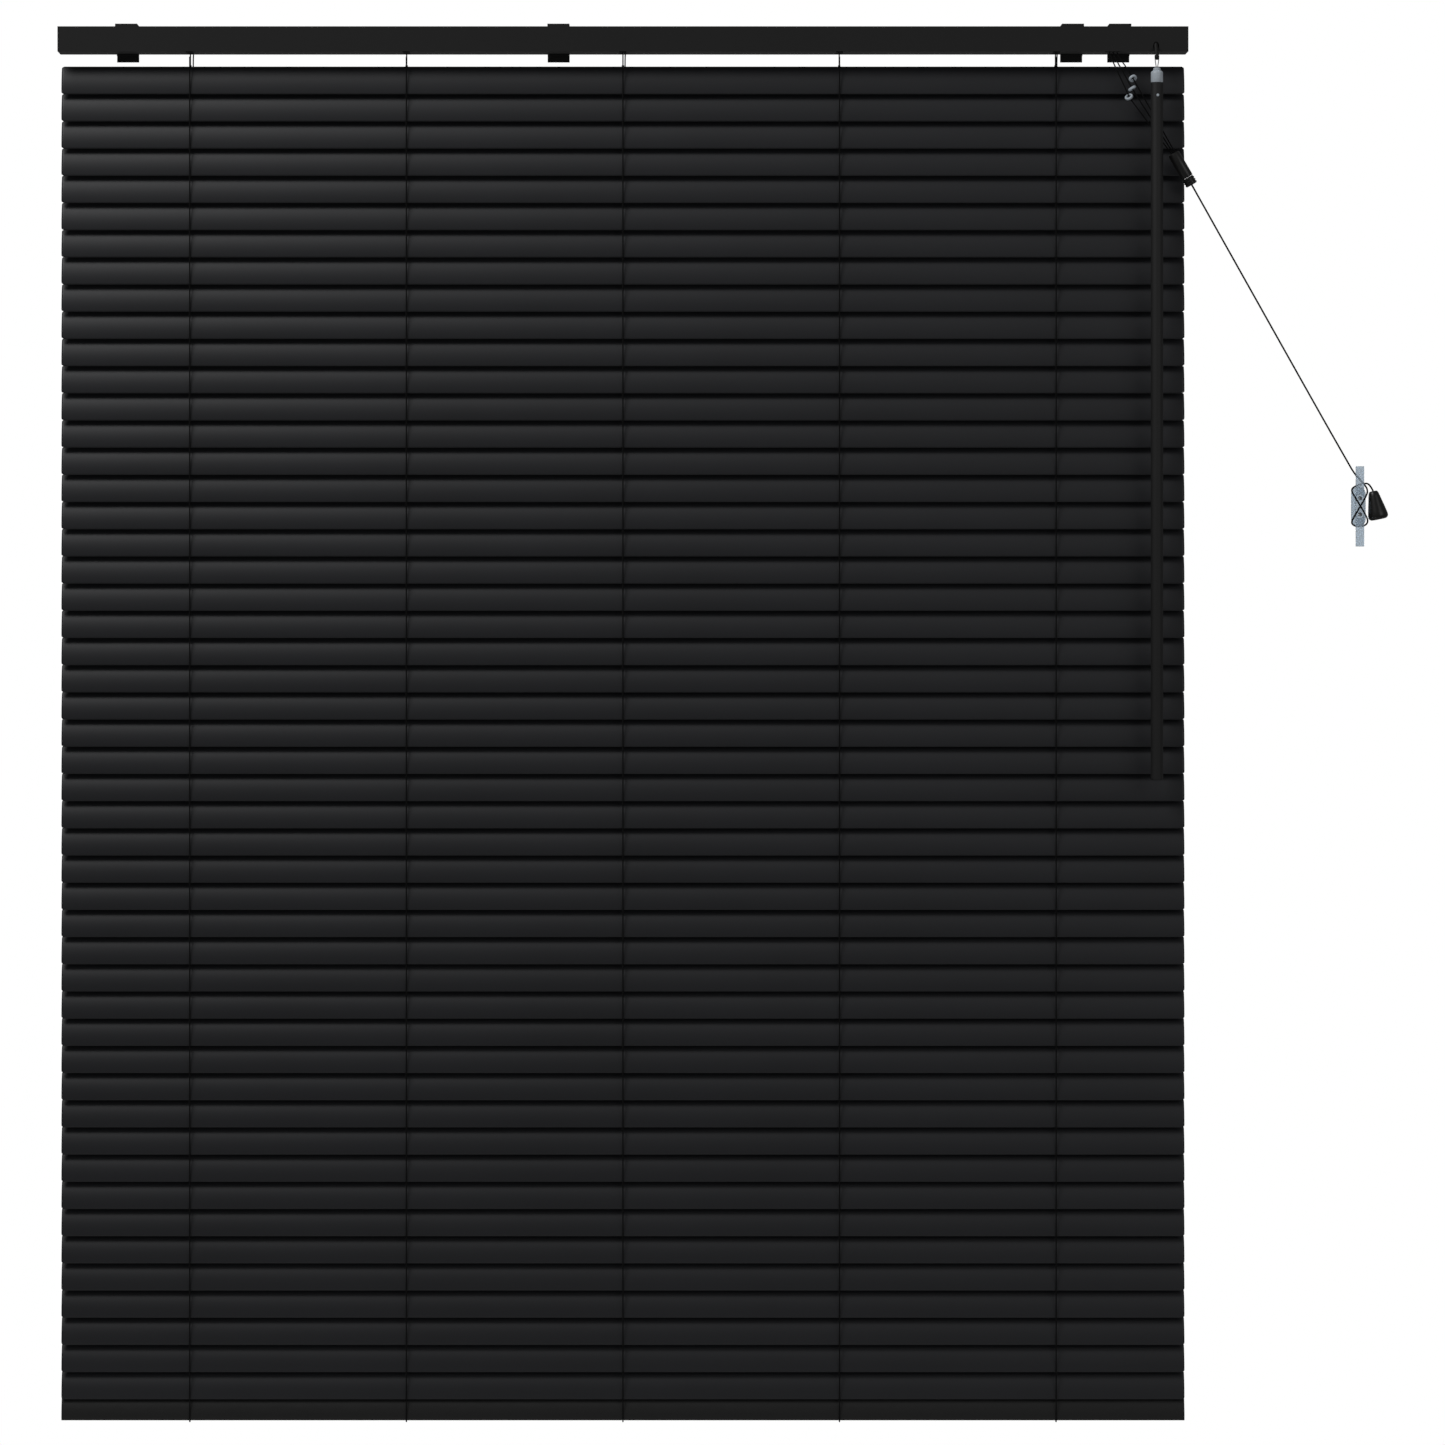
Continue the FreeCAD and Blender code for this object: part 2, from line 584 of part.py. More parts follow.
def make_tassel():
    cone = bind(
        doc.addObject("Part::Cone", "TasselBody"), Radius1="4.6", Radius2="9.6", Height="tassel_length"
    )
    rounded = doc.addObject("Part::Fillet", "TasselRound")
    rounded.Base = cone
    doc.recompute()
    rims = [
        number for number, edge in enumerate(cone.Shape.Edges, 1)
        if edge.Curve.TypeId == "Part::GeomCircle"
    ]
    circles = {number: cone.Shape.Edges[number - 1].Curve for number in rims}
    rounded.Edges = [(number, *[4.5 if circles[number].Radius > 6 else 2.2] * 2) for number in rims]
    bore = bar("pull_radius + 0.3", "8", ("0", "0", "-1"), Rotation())
    return place_along(together(cut(rounded, bore)), TASSEL_TOP, TASSEL_LINE)


def make_stop(index):
    """A clear bead that rides on one lift cord."""
    centre, lean = STOPS[index]
    ring = cut(
        bar("stop_radius", "2.4", ("0", "0", "-1.2"), Rotation()),
        bar("2.1", "4", ("0", "0", "-2"), Rotation()),
    )
    route = [Vector(*point[:3]) for point in lift_route(index)]
    run = (route[-1] - route[-3]).normalize()
    turned = Rotation(run.cross(Vector(0, -1, 0)), lean).multVec(run)
    return place_along(together(ring), centre, turned)


def make_cord_pulls():
    stops = [make_stop(index) for index in range(3)]
    return name_part(together(make_condenser(), make_tassel(), *stops), "cord_pulls")


# ---- build, check and write -----------------------------------------------------------------------

def check_and_write():
    doc.recompute()
    for item in doc.Objects:
        if {"Invalid", "Error"} & set(item.State):
            raise RuntimeError(f"{item.Name} ({item.Label}) failed: {item.State}")
    os.makedirs("parts", exist_ok=True)
    for item in subparts:
        shape = item.Shape
        if shape.isNull() or not shape.isValid() or not shape.Solids:
            raise RuntimeError(f"{item.Label} has no valid solid")
        shape.exportStep(f"parts/{item.Label}.step")


make_headrail()
make_fittings()
make_tilt_rod()
make_tilter_worm()
make_wand()
make_slats()
make_bottom_rail()
make_ladders()
make_wall_fixings()
make_cords()
make_cord_pulls()
check_and_write()
print(f"{len(subparts)} sub-parts written")
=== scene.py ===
"""Venetian blinds: the finish of every piece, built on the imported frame, in metres."""
import json
import math

import bmesh
import bpy
from mathutils import Matrix, Vector


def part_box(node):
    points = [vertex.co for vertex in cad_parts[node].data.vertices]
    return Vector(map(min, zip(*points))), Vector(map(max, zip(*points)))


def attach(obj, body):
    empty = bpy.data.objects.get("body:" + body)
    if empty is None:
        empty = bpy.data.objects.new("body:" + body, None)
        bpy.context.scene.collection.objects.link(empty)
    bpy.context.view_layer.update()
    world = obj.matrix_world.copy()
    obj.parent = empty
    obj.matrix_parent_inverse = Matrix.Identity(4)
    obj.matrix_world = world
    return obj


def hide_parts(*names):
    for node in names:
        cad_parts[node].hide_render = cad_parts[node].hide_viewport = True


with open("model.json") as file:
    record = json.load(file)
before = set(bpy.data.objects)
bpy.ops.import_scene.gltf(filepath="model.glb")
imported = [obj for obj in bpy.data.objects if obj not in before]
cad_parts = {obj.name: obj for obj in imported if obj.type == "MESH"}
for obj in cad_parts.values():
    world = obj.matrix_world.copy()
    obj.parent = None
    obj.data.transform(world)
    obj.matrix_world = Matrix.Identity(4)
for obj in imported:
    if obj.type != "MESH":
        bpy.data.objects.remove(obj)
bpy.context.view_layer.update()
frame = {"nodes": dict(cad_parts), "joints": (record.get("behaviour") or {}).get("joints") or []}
MM = 0.001

# Sizes that follow the frame: the rail, the slats' axes and the ladders' places.
JOINTS = {joint["name"]: joint for joint in frame["joints"]}
SLATS = [f"slat_{number:02d}" for number in range(1, 50)]
AXIS = {name: Vector(JOINTS[f"{name}_tilt"]["pos_m"]) for name in SLATS}
BASE_AXIS = Vector(JOINTS["bottom_rail_tilt"]["pos_m"])
WAND_AXIS = Vector(JOINTS["wand_turn"]["pos_m"])
RAIL_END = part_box("headrail")[1][0]
SLAT_LOW, SLAT_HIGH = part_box("slat_01")
PITCH = AXIS["slat_01"].z - AXIS["slat_02"].z
LADDER_SPACING = 201.5 * MM
LADDER_COUNT = 5

# Sizes of the strip and cord, as drawn.
CHORD, CROWN, STRIP = 27.2 * MM, 2.0 * MM, 0.4 * MM
TILT = math.radians(75)
EDGE_OUT = CHORD / 2 * math.cos(TILT)
EDGE_DOWN = CHORD / 2 * math.sin(TILT)
LADDER_GAP, LADDER_RADIUS = 1.5 * MM, 0.6 * MM
RUNG_RADIUS = 0.32 * MM
LIFT_DIAMETER, PULL_DIAMETER = 1.2 * MM, 1.6 * MM

# Corners closer than this are one, in a copy from the frame and in a turned piece.
COPY_WELD, TURNED_WELD = 2e-6, 1e-7


# ---- small helpers --------------------------------------------------------------------------------

def linear(hex_colour):
    """An sRGB hex colour as linear RGBA."""
    channels = [int(hex_colour[i:i + 2], 16) / 255 for i in (1, 3, 5)]
    return [c / 12.92 if c <= 0.04045 else ((c + 0.055) / 1.055) ** 2.4 for c in channels] + [1.0]


def add(tree, kind, inputs=None, **settings):
    """Adds a node; each input is a value or a socket to link from."""
    node = tree.nodes.new(kind)
    for name, value in settings.items():
        setattr(node, name, value)
    for name, value in (inputs or {}).items():
        if isinstance(value, bpy.types.NodeSocket):
            tree.links.new(value, node.inputs[name])
        else:
            node.inputs[name].default_value = value
    return node


def new_object(name, data):
    piece = bpy.data.objects.new(name, data)
    bpy.context.scene.collection.objects.link(piece)
    return piece


def give(piece, material, body, slot, replaces=()):
    piece.data.materials.clear()
    piece.data.materials.append(material)
    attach(piece, body)
    if replaces:
        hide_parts(*replaces)
    return piece


def smooth(mesh, angle=35):
    mesh.polygons.foreach_set("use_smooth", [True] * len(mesh.polygons))
    mesh.set_sharp_from_angle(angle=math.radians(angle))


def bevelled(piece, width, segments=2, angle=30):
    bevel = piece.modifiers.new("EasedEdges", "BEVEL")
    bevel.width = width
    bevel.segments = segments
    bevel.limit_method = "ANGLE"
    bevel.angle_limit = math.radians(angle)
    bevel.harden_normals = True
    return piece


# ---- materials ------------------------------------------------------------------------------------

def new_material(name):
    """A material, with its node tree, its shader and the piece's own coordinates."""
    material = bpy.data.materials.new(name)
    material.use_nodes = True
    tree = material.node_tree
    place = add(tree, "ShaderNodeTexCoord").outputs["Object"]
    return material, tree, tree.nodes["Principled BSDF"], place


def surface(name, colour, deep, grain, height, roughness, ior=1.5, spread=0.06, **more):
    """A slow drift between two colours, and a fine bump; grain and height are in millimetres."""
    material, tree, shader, place = new_material(name)
    drift = add(tree, "ShaderNodeTexNoise", {"Vector": place, "Scale": 9.0, "Detail": 3.0})
    tint = add(
        tree, "ShaderNodeMix", {0: drift.outputs["Fac"], 6: linear(colour), 7: linear(deep)},
        data_type="RGBA",
    )
    tree.links.new(tint.outputs[2], shader.inputs["Base Color"])
    fine = add(tree, "ShaderNodeTexNoise", {"Vector": place, "Scale": 1 / (grain * MM), "Detail": 4.0})
    rough = add(
        tree, "ShaderNodeMapRange",
        {"Value": fine.outputs["Fac"], "To Min": roughness - spread, "To Max": roughness + spread},
    )
    tree.links.new(rough.outputs["Result"], shader.inputs["Roughness"])
    bump = add(
        tree, "ShaderNodeBump",
        {"Height": fine.outputs["Fac"], "Distance": height * MM, "Strength": 0.6},
    )
    tree.links.new(bump.outputs["Normal"], shader.inputs["Normal"])
    shader.inputs["IOR"].default_value = ior
    for socket, value in more.items():
        shader.inputs[socket.replace("_", " ")].default_value = value
    return material


def braided(name, colour, deep, strand):
    """Dull polyester braid, as two slanted wave patterns that cross; a strand is in millimetres."""
    material, tree, shader, place = new_material(name)
    heights = []
    for lean in (0.9, -0.9):
        slanted = add(tree, "ShaderNodeMapping", {"Vector": place, "Rotation": (lean, lean / 2, 0.0)})
        wave = add(
            tree, "ShaderNodeTexWave",
            {"Vector": slanted.outputs["Vector"], "Scale": 0.3 / (strand * MM), "Distortion": 0.4},
            bands_direction="Z",
        )
        heights.append(wave.outputs["Fac"])
    over = add(tree, "ShaderNodeMath", {0: heights[0], 1: heights[1]}, operation="MAXIMUM")
    tint = add(
        tree, "ShaderNodeMix", {0: over.outputs[0], 6: linear(deep), 7: linear(colour)}, data_type="RGBA"
    )
    tree.links.new(tint.outputs[2], shader.inputs["Base Color"])
    bump = add(
        tree, "ShaderNodeBump", {"Height": over.outputs[0], "Distance": 0.04 * MM, "Strength": 0.5}
    )
    tree.links.new(bump.outputs["Normal"], shader.inputs["Normal"])
    shader.inputs["Roughness"].default_value = 0.85
    shader.inputs["Specular IOR Level"].default_value = 0.2
    return material


# Polyester enamel, coil coated on aluminium strip: satin, with a faint orange peel.
SLAT_ENAMEL = surface("polyester_enamel_on_aluminium_strip", "#222327", "#1b1c1f", 1.6, 0.012, 0.48)
# The same enamel on roll-formed steel: a little flatter and blacker.
RAIL_ENAMEL = surface("polyester_enamel_on_rolled_steel", "#141414", "#101010", 1.1, 0.01, 0.55)
# Powder coat on pressed brackets: a coarser, duller skin.
BRACKET_COAT = surface("powder_coat_on_pressed_steel", "#131313", "#101010", 0.7, 0.03, 0.6)
# Spark-eroded mould texture on black ABS: matt, even grain.
MOULDED_ABS = surface("spark_textured_black_abs", "#191919", "#141414", 0.45, 0.02, 0.55)
# Extruded black PVC rod with a soft gloss.
EXTRUDED_PVC = surface("extruded_black_pvc", "#1c1c1c", "#181818", 2.2, 0.006, 0.62, spread=0.03)
# Polished black polystyrene: the condenser and tassel shine a little.
POLISHED_STYRENE = surface(
    "polished_black_polystyrene", "#1b1b1a", "#151514", 1.2, 0.006, 0.34, spread=0.04
)
# Clear polycarbonate from an unpolished mould: see-through, pale blue-grey and slightly hazed.
HAZY_CLEAR = surface(
    "hazed_clear_polycarbonate", "#d3dfe9", "#c4d2de", 1.8, 0.01, 0.24, ior=1.45, spread=0.05,
    Transmission_Weight=0.6,
)
# The same plastic, thin and frosted: it reads paler and hides what is behind it.
FROSTED_CLEAR = surface(
    "frosted_clear_polycarbonate", "#dde6ee", "#cbd6e0", 1.0, 0.012, 0.4, ior=1.5, spread=0.05,
    Transmission_Weight=0.1,
)
# White acetal with a slightly waxy skin, for the drums and the wheel.
ACETAL = surface("natural_white_acetal", "#dedcd4", "#d3d1c8", 0.8, 0.01, 0.45)
# Drawn steel with zinc plate: bright, with fine haze.
ZINC_STEEL = surface("zinc_plated_drawn_steel", "#b4b6b8", "#a4a6a9", 0.5, 0.006, 0.32, Metallic=1.0)
LADDER_BRAID = braided("braided_black_ladder_polyester", "#101010", "#070707", 0.5)
CORD_BRAID = braided("braided_black_lift_polyester", "#0e0e0e", "#050505", 0.6)


# ---- camera, lights, floor ------------------------------------------------------------------------

EYE_DISTANCE = 6.0
FRAME_WIDTH = 1345.3 * MM  # what the view spans at the slats
EYE_HEIGHT, MIDDLE_HEIGHT = -0.56, -0.6466
SIDE_SHIFT = 0.0689
SENSOR_WIDTH = 36
LENS = SENSOR_WIDTH * EYE_DISTANCE / FRAME_WIDTH
AMBIENT, BACKGROUND = 0.13, 1.0
MIDDLE = (0, -0.02, -0.65)
FLOOR_X, FLOOR_Y, FLOOR_Z = (-0.9, 1.1), (-0.9, 0.25), -1.45


def set_camera():
    data = bpy.data.cameras.new("View")
    data.sensor_width = SENSOR_WIDTH
    data.lens = LENS
    data.shift_x = SIDE_SHIFT
    data.shift_y = (MIDDLE_HEIGHT - EYE_HEIGHT) / FRAME_WIDTH
    data.clip_end = 50
    camera = new_object("View", data)
    camera.location = (0, AXIS["slat_01"].y - EYE_DISTANCE, EYE_HEIGHT)
    camera.rotation_euler = (math.radians(90), 0, 0)
    bpy.context.scene.camera = camera


def add_light(name, place, size, power):
    data = bpy.data.lights.new(name, "AREA")
    data.size = size
    data.energy = power
    light = new_object(name, data)
    light.location = place
    light.rotation_euler = (Vector(MIDDLE) - Vector(place)).to_track_quat("-Z", "Y").to_euler()


def set_studio():
    """White surroundings seen directly, and softer ones for what they light."""
    scene = bpy.context.scene
    scene.view_settings.view_transform = "Standard"
    world = bpy.data.worlds.new("Studio")
    world.use_nodes = True
    scene.world = world
    tree = world.node_tree
    path = add(tree, "ShaderNodeLightPath").outputs
    seen = calc(tree, "MAXIMUM", path["Is Camera Ray"], path["Is Transmission Ray"])
    strength = add(tree, "ShaderNodeMapRange", {"Value": seen, "To Min": AMBIENT, "To Max": BACKGROUND})
    tree.links.new(strength.outputs["Result"], tree.nodes["Background"].inputs["Strength"])
    tree.nodes["Background"].inputs["Color"].default_value = (1, 1, 1, 1)
    add_light("Key", (-1.7, -1.9, 2.3), size=1.5, power=54)
    add_light("Fill", (2.4, -2.6, 0.4), size=1.8, power=10)
    floor_mesh = bpy.data.meshes.new("Floor")
    (left, right), (near, far) = FLOOR_X, FLOOR_Y
    corners = [(x, y, FLOOR_Z) for x, y in ((left, near), (right, near), (right, far), (left, far))]
    floor_mesh.from_pydata(corners, [], [(0, 1, 2, 3)])
    floor = new_object("Floor", floor_mesh)
    floor.data.materials.append(surface("pale_floor_paint", "#eeeeee", "#ebebeb", 4, 0.01, 0.8))


# ---- geometry node trees --------------------------------------------------------------------------

def calc(tree, operation, first, second=0.0):
    return add(tree, "ShaderNodeMath", {0: first, 1: second}, operation=operation).outputs[0]


def position(tree):
    """The X, Y and Z of each point."""
    here = add(tree, "GeometryNodeInputPosition").outputs[0]
    return add(tree, "ShaderNodeSeparateXYZ", {0: here}).outputs


def crown(tree, y, chord):
    """One at the middle of the chord, falling to nought at its edges as a parabola."""
    across = calc(tree, "DIVIDE", calc(tree, "MULTIPLY", y, 2.0), chord)
    return calc(tree, "SUBTRACT", 1.0, calc(tree, "MULTIPLY", across, across))


def new_tree(name, sizes):
    """A geometry tree with named float or vector inputs; returns it and its input sockets."""
    tree = bpy.data.node_groups.new(name, "GeometryNodeTree")
    tree.interface.new_socket("Geometry", in_out="OUTPUT", socket_type="NodeSocketGeometry")
    for label, value in sizes.items():
        kind = "NodeSocketVector" if isinstance(value, Vector) else "NodeSocketFloat"
        tree.interface.new_socket(label, in_out="INPUT", socket_type=kind)
    return tree, add(tree, "NodeGroupInput").outputs


def close_tree(tree, geometry, material, tilt=None, centre=None):
    """Realizes, gives the material and, where asked, tilts about X and moves to the centre."""
    solid = add(tree, "GeometryNodeRealizeInstances", {"Geometry": geometry}).outputs["Geometry"]
    if centre is not None:
        turn = add(tree, "ShaderNodeCombineXYZ", {"X": tilt}).outputs[0]
        solid = add(
            tree, "GeometryNodeTransform", {"Geometry": solid, "Rotation": turn, "Translation": centre}
        ).outputs["Geometry"]
    painted = add(tree, "GeometryNodeSetMaterial", {"Geometry": solid, "Material": material})
    add(tree, "NodeGroupOutput", {"Geometry": painted.outputs["Geometry"]})
    return tree


def grown(name, tree, sizes):
    """A plain mesh made by the tree with those sizes."""
    maker = new_object(name, bpy.data.meshes.new(name))
    modifier = maker.modifiers.new("Maker", "NODES")
    modifier.node_group = tree
    inputs = [item for item in tree.interface.items_tree if item.in_out == "INPUT"]
    sockets = {item.name: item.identifier for item in inputs}
    for label, value in sizes.items():
        modifier[sockets[label]] = tuple(value) if isinstance(value, Vector) else value
    bpy.context.view_layer.update()
    evaluated = maker.evaluated_get(bpy.context.evaluated_depsgraph_get())
    mesh = bpy.data.meshes.new_from_object(evaluated)
    maker.modifiers.clear()
    maker.data = mesh
    return maker


SLAT_SIZES = {
    "Length": SLAT_HIGH[0] - SLAT_LOW[0], "Chord": CHORD, "Crown": CROWN, "Corner": 2.2 * MM,
    "Tilt": TILT, "Centre": Vector(),
}


def slat_tree():
    """A crowned strip with rounded corners: a flat grid lifted into an arc."""
    tree, sizes = new_tree("SlatStrip", SLAT_SIZES)
    grid = add(
        tree, "GeometryNodeMeshGrid",
        {"Size X": sizes["Length"], "Size Y": sizes["Chord"], "Vertices X": 6, "Vertices Y": 25},
    )
    here = position(tree)
    lift = calc(tree, "MULTIPLY", sizes["Crown"], crown(tree, here["Y"], sizes["Chord"]))
    # Past the last straight part of its edge, each end is cut back by a quarter circle.
    half = calc(tree, "DIVIDE", sizes["Chord"], 2.0)
    straight = calc(tree, "SUBTRACT", half, sizes["Corner"])
    past = calc(tree, "SUBTRACT", calc(tree, "ABSOLUTE", here["Y"]), straight)
    past = calc(tree, "MAXIMUM", past, 0.0)
    square = calc(tree, "MULTIPLY", sizes["Corner"], sizes["Corner"])
    left_over = calc(tree, "SUBTRACT", square, calc(tree, "MULTIPLY", past, past))
    round_off = calc(tree, "SQRT", calc(tree, "MAXIMUM", left_over, 0.0))
    far = calc(tree, "DIVIDE", sizes["Length"], 2.0)
    end = calc(tree, "SUBTRACT", far, sizes["Corner"])
    # The inner columns gather near the ends, so each long face between them stays flat.
    short = calc(tree, "SUBTRACT", 1.0, calc(tree, "DIVIDE", calc(tree, "ABSOLUTE", here["X"]), far))
    pulled = calc(tree, "MULTIPLY", calc(tree, "MULTIPLY", short, 2.5), sizes["Corner"])
    near_end = calc(tree, "SUBTRACT", far, pulled)
    reach = calc(tree, "MINIMUM", near_end, calc(tree, "ADD", end, round_off))
    along = calc(tree, "MULTIPLY", calc(tree, "SIGN", here["X"]), reach)
    spot = add(tree, "ShaderNodeCombineXYZ", {"X": along, "Y": here["Y"], "Z": lift}).outputs[0]
    strip = add(tree, "GeometryNodeSetPosition", {"Geometry": grid.outputs["Mesh"], "Position": spot})
    return close_tree(tree, strip.outputs["Geometry"], SLAT_ENAMEL, sizes["Tilt"], sizes["Centre"])


RUNG_SIZES = {
    "Chord": CHORD, "Crown": CROWN, "Strip": STRIP, "Gap": LADDER_GAP, "Radius": RUNG_RADIUS,
    "Spacing": LADDER_SPACING, "Pair": 1.7 * MM, "Tilt": TILT, "Centre": Vector(),
}


def rung_tree():
    """Pairs of threads that pass under a slat from each ladder's front cord to its rear one."""
    tree, sizes = new_tree("LadderRungs", RUNG_SIZES)
    reach = calc(tree, "ADD", calc(tree, "DIVIDE", sizes["Chord"], 2.0), sizes["Gap"])
    start = add(tree, "ShaderNodeCombineXYZ", {"Y": calc(tree, "MULTIPLY", reach, -1.0)}).outputs[0]
    end = add(tree, "ShaderNodeCombineXYZ", {"Y": reach}).outputs[0]
    line = add(tree, "GeometryNodeCurvePrimitiveLine", {"Start": start, "End": end})
    line = add(tree, "GeometryNodeResampleCurve", {"Curve": line.outputs["Curve"], "Count": 15})
    drop = calc(tree, "MAXIMUM", crown(tree, position(tree)["Y"], sizes["Chord"]), 0.0)
    under = calc(tree, "ADD", sizes["Strip"], calc(tree, "MULTIPLY", sizes["Radius"], 1.3))
    lift = calc(tree, "SUBTRACT", calc(tree, "MULTIPLY", sizes["Crown"], drop), under)
    offset = add(tree, "ShaderNodeCombineXYZ", {"Z": lift}).outputs[0]
    line = add(tree, "GeometryNodeSetPosition", {"Geometry": line.outputs["Curve"], "Offset": offset})
    ring = add(tree, "GeometryNodeCurvePrimitiveCircle", {"Resolution": 6, "Radius": sizes["Radius"]})
    thread = add(
        tree, "GeometryNodeCurveToMesh",
        {"Curve": line.outputs["Geometry"], "Profile Curve": ring.outputs["Curve"], "Fill Caps": True},
    )
    rows = line_of_points(tree, LADDER_COUNT, "X", sizes["Spacing"])
    pairs = line_of_points(tree, 2, "X", sizes["Pair"])
    pair = add(
        tree, "GeometryNodeInstanceOnPoints", {"Points": pairs, "Instance": thread.outputs["Mesh"]}
    )
    rungs = add(
        tree, "GeometryNodeInstanceOnPoints", {"Points": rows, "Instance": pair.outputs["Instances"]}
    )
    return close_tree(tree, rungs.outputs["Instances"], LADDER_BRAID, sizes["Tilt"], sizes["Centre"])


def line_of_points(tree, count, axis, step):
    """A row of points centred on the origin along one axis."""
    first = calc(tree, "MULTIPLY", step, -(count - 1) / 2)
    start = add(tree, "ShaderNodeCombineXYZ", {axis: first}).outputs[0]
    offset = add(tree, "ShaderNodeCombineXYZ", {axis: step}).outputs[0]
    row = add(tree, "GeometryNodeMeshLine", {"Count": count, "Start Location": start, "Offset": offset})
    return row.outputs["Mesh"]


KNOT_SIZES = {
    "Spacing": LADDER_SPACING, "Pitch": PITCH, "Radius": 0.85 * MM, "Tilt": 0.0, "Centre": Vector(),
}


def knot_tree():
    """The bound joints where rungs meet an upright cord: small ovals at every slat on every ladder."""
    tree, sizes = new_tree("LadderKnots", KNOT_SIZES)
    bead = add(tree, "GeometryNodeMeshIcoSphere", {"Radius": sizes["Radius"], "Subdivisions": 2})
    oval = add(
        tree, "GeometryNodeTransform", {"Geometry": bead.outputs["Mesh"], "Scale": (1.0, 1.0, 1.5)}
    )
    column = line_of_points(tree, len(SLATS), "Z", sizes["Pitch"])
    rows = line_of_points(tree, LADDER_COUNT, "X", sizes["Spacing"])
    knots = add(
        tree, "GeometryNodeInstanceOnPoints", {"Points": column, "Instance": oval.outputs["Geometry"]}
    )
    ladders = add(
        tree, "GeometryNodeInstanceOnPoints", {"Points": rows, "Instance": knots.outputs["Instances"]}
    )
    return close_tree(tree, ladders.outputs["Instances"], LADDER_BRAID, sizes["Tilt"], sizes["Centre"])


# ---- pieces copied from the frame with eased edges ------------------------------------------------

def islands(mesh):
    """Groups of faces that hang together."""
    unseen = set(mesh.faces)
    while unseen:
        group, waiting = [], [unseen.pop()]
        while waiting:
            face = waiting.pop()
            group.append(face)
            for side in face.edges:
                for other in side.link_faces:
                    if other in unseen:
                        unseen.discard(other)
                        waiting.append(other)
        yield group


def eased_copy(node, name, material, body, slot, keep=None, width=0.25 * MM, replaces=True):
    """The node's solids that pass the test, merged to clean faces, with small edge radii."""
    mesh = frame["nodes"][node].data.copy()
    for layer in ("custom_normal", "sharp_edge", "sharp_face"):
        if layer in mesh.attributes:
            mesh.attributes.remove(mesh.attributes[layer])
    work = bmesh.new()
    work.from_mesh(mesh)
    bmesh.ops.remove_doubles(work, verts=work.verts, dist=COPY_WELD)
    unwanted = []
    for group in islands(work):
        corners = {vertex for face in group for vertex in face.verts}
        centre = sum((vertex.co for vertex in corners), Vector()) / len(corners)
        if keep and not keep(centre):
            unwanted += group
    bmesh.ops.delete(work, geom=unwanted, context="FACES")
    bmesh.ops.dissolve_limit(work, angle_limit=math.radians(1), verts=work.verts, edges=work.edges)
    work.to_mesh(mesh)
    work.free()
    smooth(mesh)
    piece = new_object(name, mesh)
    bevelled(piece, width)
    return give(piece, material, body, slot, [node] if replaces else ())


# ---- turned and threaded pieces -------------------------------------------------------------------

def lathe(name, outline, origin, line, material, body, slot, replaces=(), sides=40, angle=35):
    """A closed outline of (radius, distance along the line) in millimetres, turned about the line."""
    work = bmesh.new()
    turned = Vector((0, 0, 1)).rotation_difference(Vector(line).normalized())
    rings = []
    for step in range(sides):
        spin = Matrix.Rotation(2 * math.pi * step / sides, 3, "Z")
        rings.append([
            work.verts.new(Vector(origin) + turned @ (spin @ Vector((radius * MM, 0, along * MM))))
            for radius, along in outline
        ])
    for here, after in zip(rings, rings[1:] + rings[:1]):
        for this in range(len(outline)):
            following = (this + 1) % len(outline)
            if outline[this][0] or outline[following][0]:
                work.faces.new([here[this], after[this], after[following], here[following]])
    bmesh.ops.remove_doubles(work, verts=work.verts, dist=TURNED_WELD)
    bmesh.ops.recalc_face_normals(work, faces=work.faces)
    mesh = bpy.data.meshes.new(name)
    work.to_mesh(mesh)
    work.free()
    smooth(mesh, angle)
    return give(new_object(name, mesh), material, body, slot, replaces)


def spline(name, points, radius):
    """A round cord on one smooth line with these control points."""
    curve = bpy.data.curves.new(name, "CURVE")
    curve.dimensions = "3D"
    curve.bevel_depth = 1.0  # the points carry the radius, so the curve's box fits the cord
    curve.bevel_resolution = 3
    curve.use_fill_caps = True
    line = curve.splines.new("NURBS")
    line.points.add(len(points) - 1)
    for spot, point in zip(line.points, points):
        spot.co = (*point, 1.0)
        spot.radius = radius
    line.order_u = 3
    line.use_endpoint_u = True
    line.resolution_u = 8
    return new_object(name, curve)


def thread(name, points, radius, material, body, slot):
    """A short fixed piece of wire or thread, as a mesh."""
    maker = spline(name + "_line", points, radius)
    bpy.context.view_layer.update()
    mesh = bpy.data.meshes.new_from_object(maker.evaluated_get(bpy.context.evaluated_depsgraph_get()))
    bpy.data.objects.remove(maker)
    smooth(mesh, 60)
    return give(new_object(name, mesh), material, body, slot)


# ---- the blind ------------------------------------------------------------------------------------

def make_slats():
    strip, rungs = slat_tree(), rung_tree()
    for name in SLATS:
        slat = grown(f"{name}_strip", strip, {**SLAT_SIZES, "Centre": AXIS[name]})
        shell = slat.modifiers.new("StripThickness", "SOLIDIFY")
        shell.thickness = STRIP
        shell.offset = -1
        smooth(slat.data, 40)
        give(slat, SLAT_ENAMEL, f"{name}_body", "black_enamel_slat", [name])
        threads = grown(f"{name}_rungs", rungs, {**RUNG_SIZES, "Centre": AXIS[name]})
        smooth(threads.data, 60)
        give(threads, LADDER_BRAID, f"{name}_body", "black_cord")


